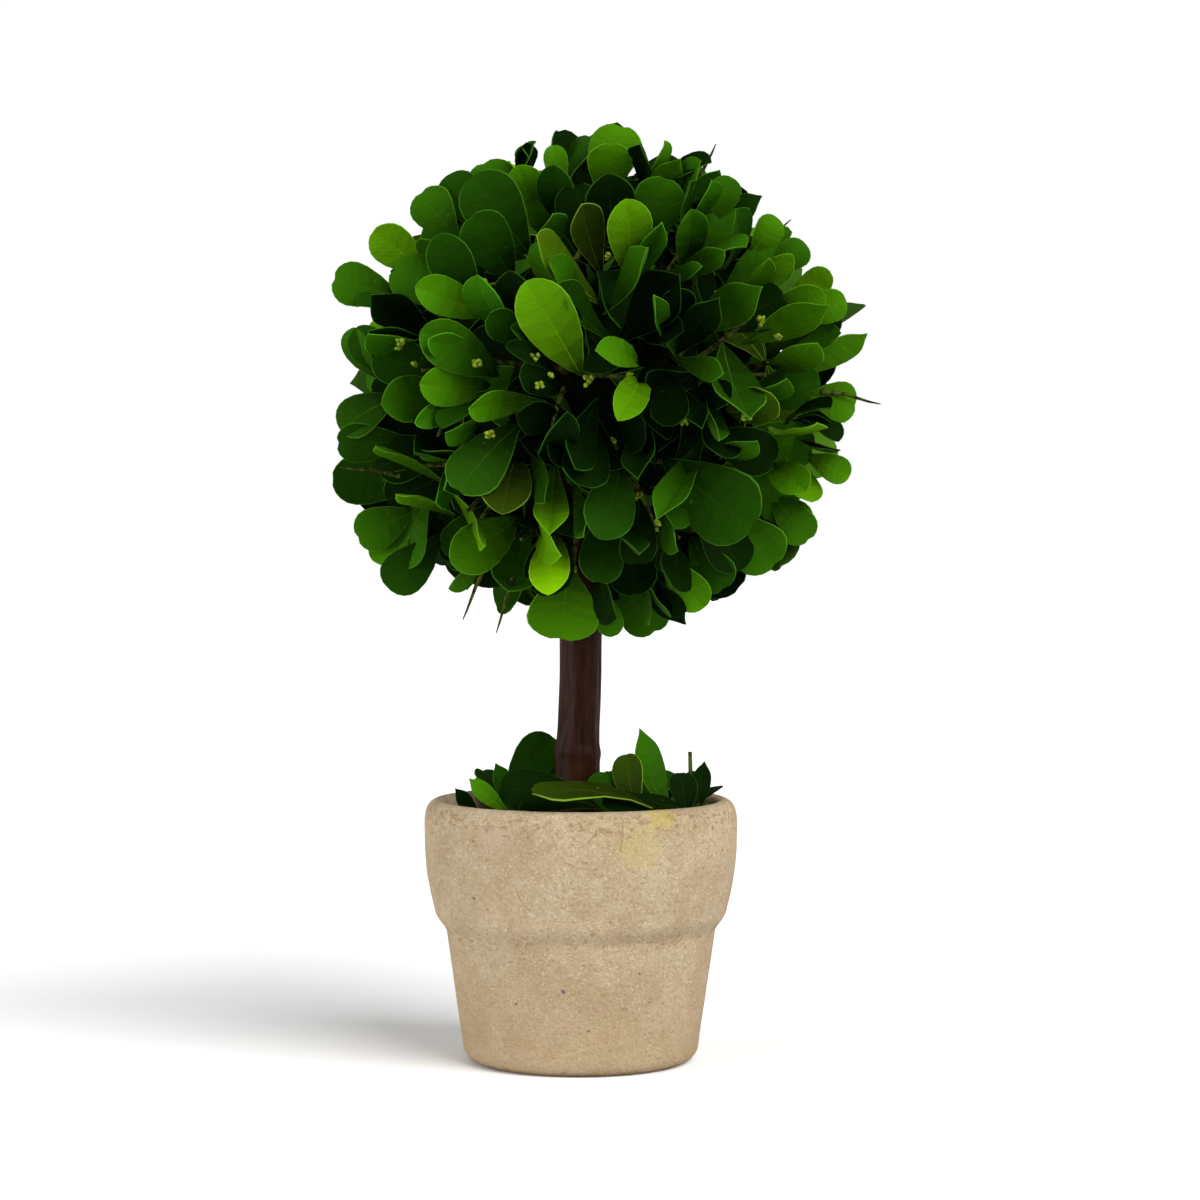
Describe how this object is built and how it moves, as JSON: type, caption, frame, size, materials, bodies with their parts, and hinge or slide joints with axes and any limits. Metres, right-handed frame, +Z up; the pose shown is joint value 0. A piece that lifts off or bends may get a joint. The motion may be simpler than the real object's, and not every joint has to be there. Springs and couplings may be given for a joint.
{
  "type": "preserved boxwood ball topiary",
  "caption": "Miniature ball topiary of preserved boxwood sprigs on a short dark stick, in a small aged clay pot with loose leaves round its foot.",
  "frame": {"origin": "centre of the pot's flat underside, on the surface that the pot stands on", "axes": "+Z up along the stick, -Y towards the front of the plant, +X to its right as seen from the front"},
  "size_m": [0.1319, 0.1261, 0.2281],
  "materials": {
    "pot_clay": "matte",
    "plug": "matte",
    "bark": "satin",
    "foam": "matte",
    "foliage": "satin",
    "pot_foliage": "satin"
  },
  "bodies": {
    "root": {"pot": "pot_clay", "pot_plug": "plug", "trunk": "bark", "ball_core": "foam", "pot_leaves_back_left": "pot_foliage", "pot_leaves_back_right": "pot_foliage", "pot_leaves_front": "pot_foliage", "pot_leaves_left": "pot_foliage", "pot_leaves_right": "pot_foliage", "sprigs_lower_1": "foliage", "sprigs_lower_2": "foliage", "sprigs_lower_3": "foliage", "sprigs_lower_4": "foliage", "sprigs_lower_5": "foliage", "sprigs_lower_6": "foliage", "sprigs_middle_1": "foliage", "sprigs_middle_2": "foliage", "sprigs_middle_3": "foliage", "sprigs_middle_4": "foliage", "sprigs_middle_5": "foliage", "sprigs_middle_6": "foliage", "sprigs_middle_7": "foliage", "sprigs_top": "foliage", "sprigs_under_1": "foliage", "sprigs_under_2": "foliage", "sprigs_under_3": "foliage", "sprigs_under_4": "foliage", "sprigs_upper_1": "foliage", "sprigs_upper_2": "foliage", "sprigs_upper_3": "foliage", "sprigs_upper_4": "foliage", "sprigs_upper_5": "foliage", "sprigs_upper_6": "foliage"}
  },
  "joints": []
}
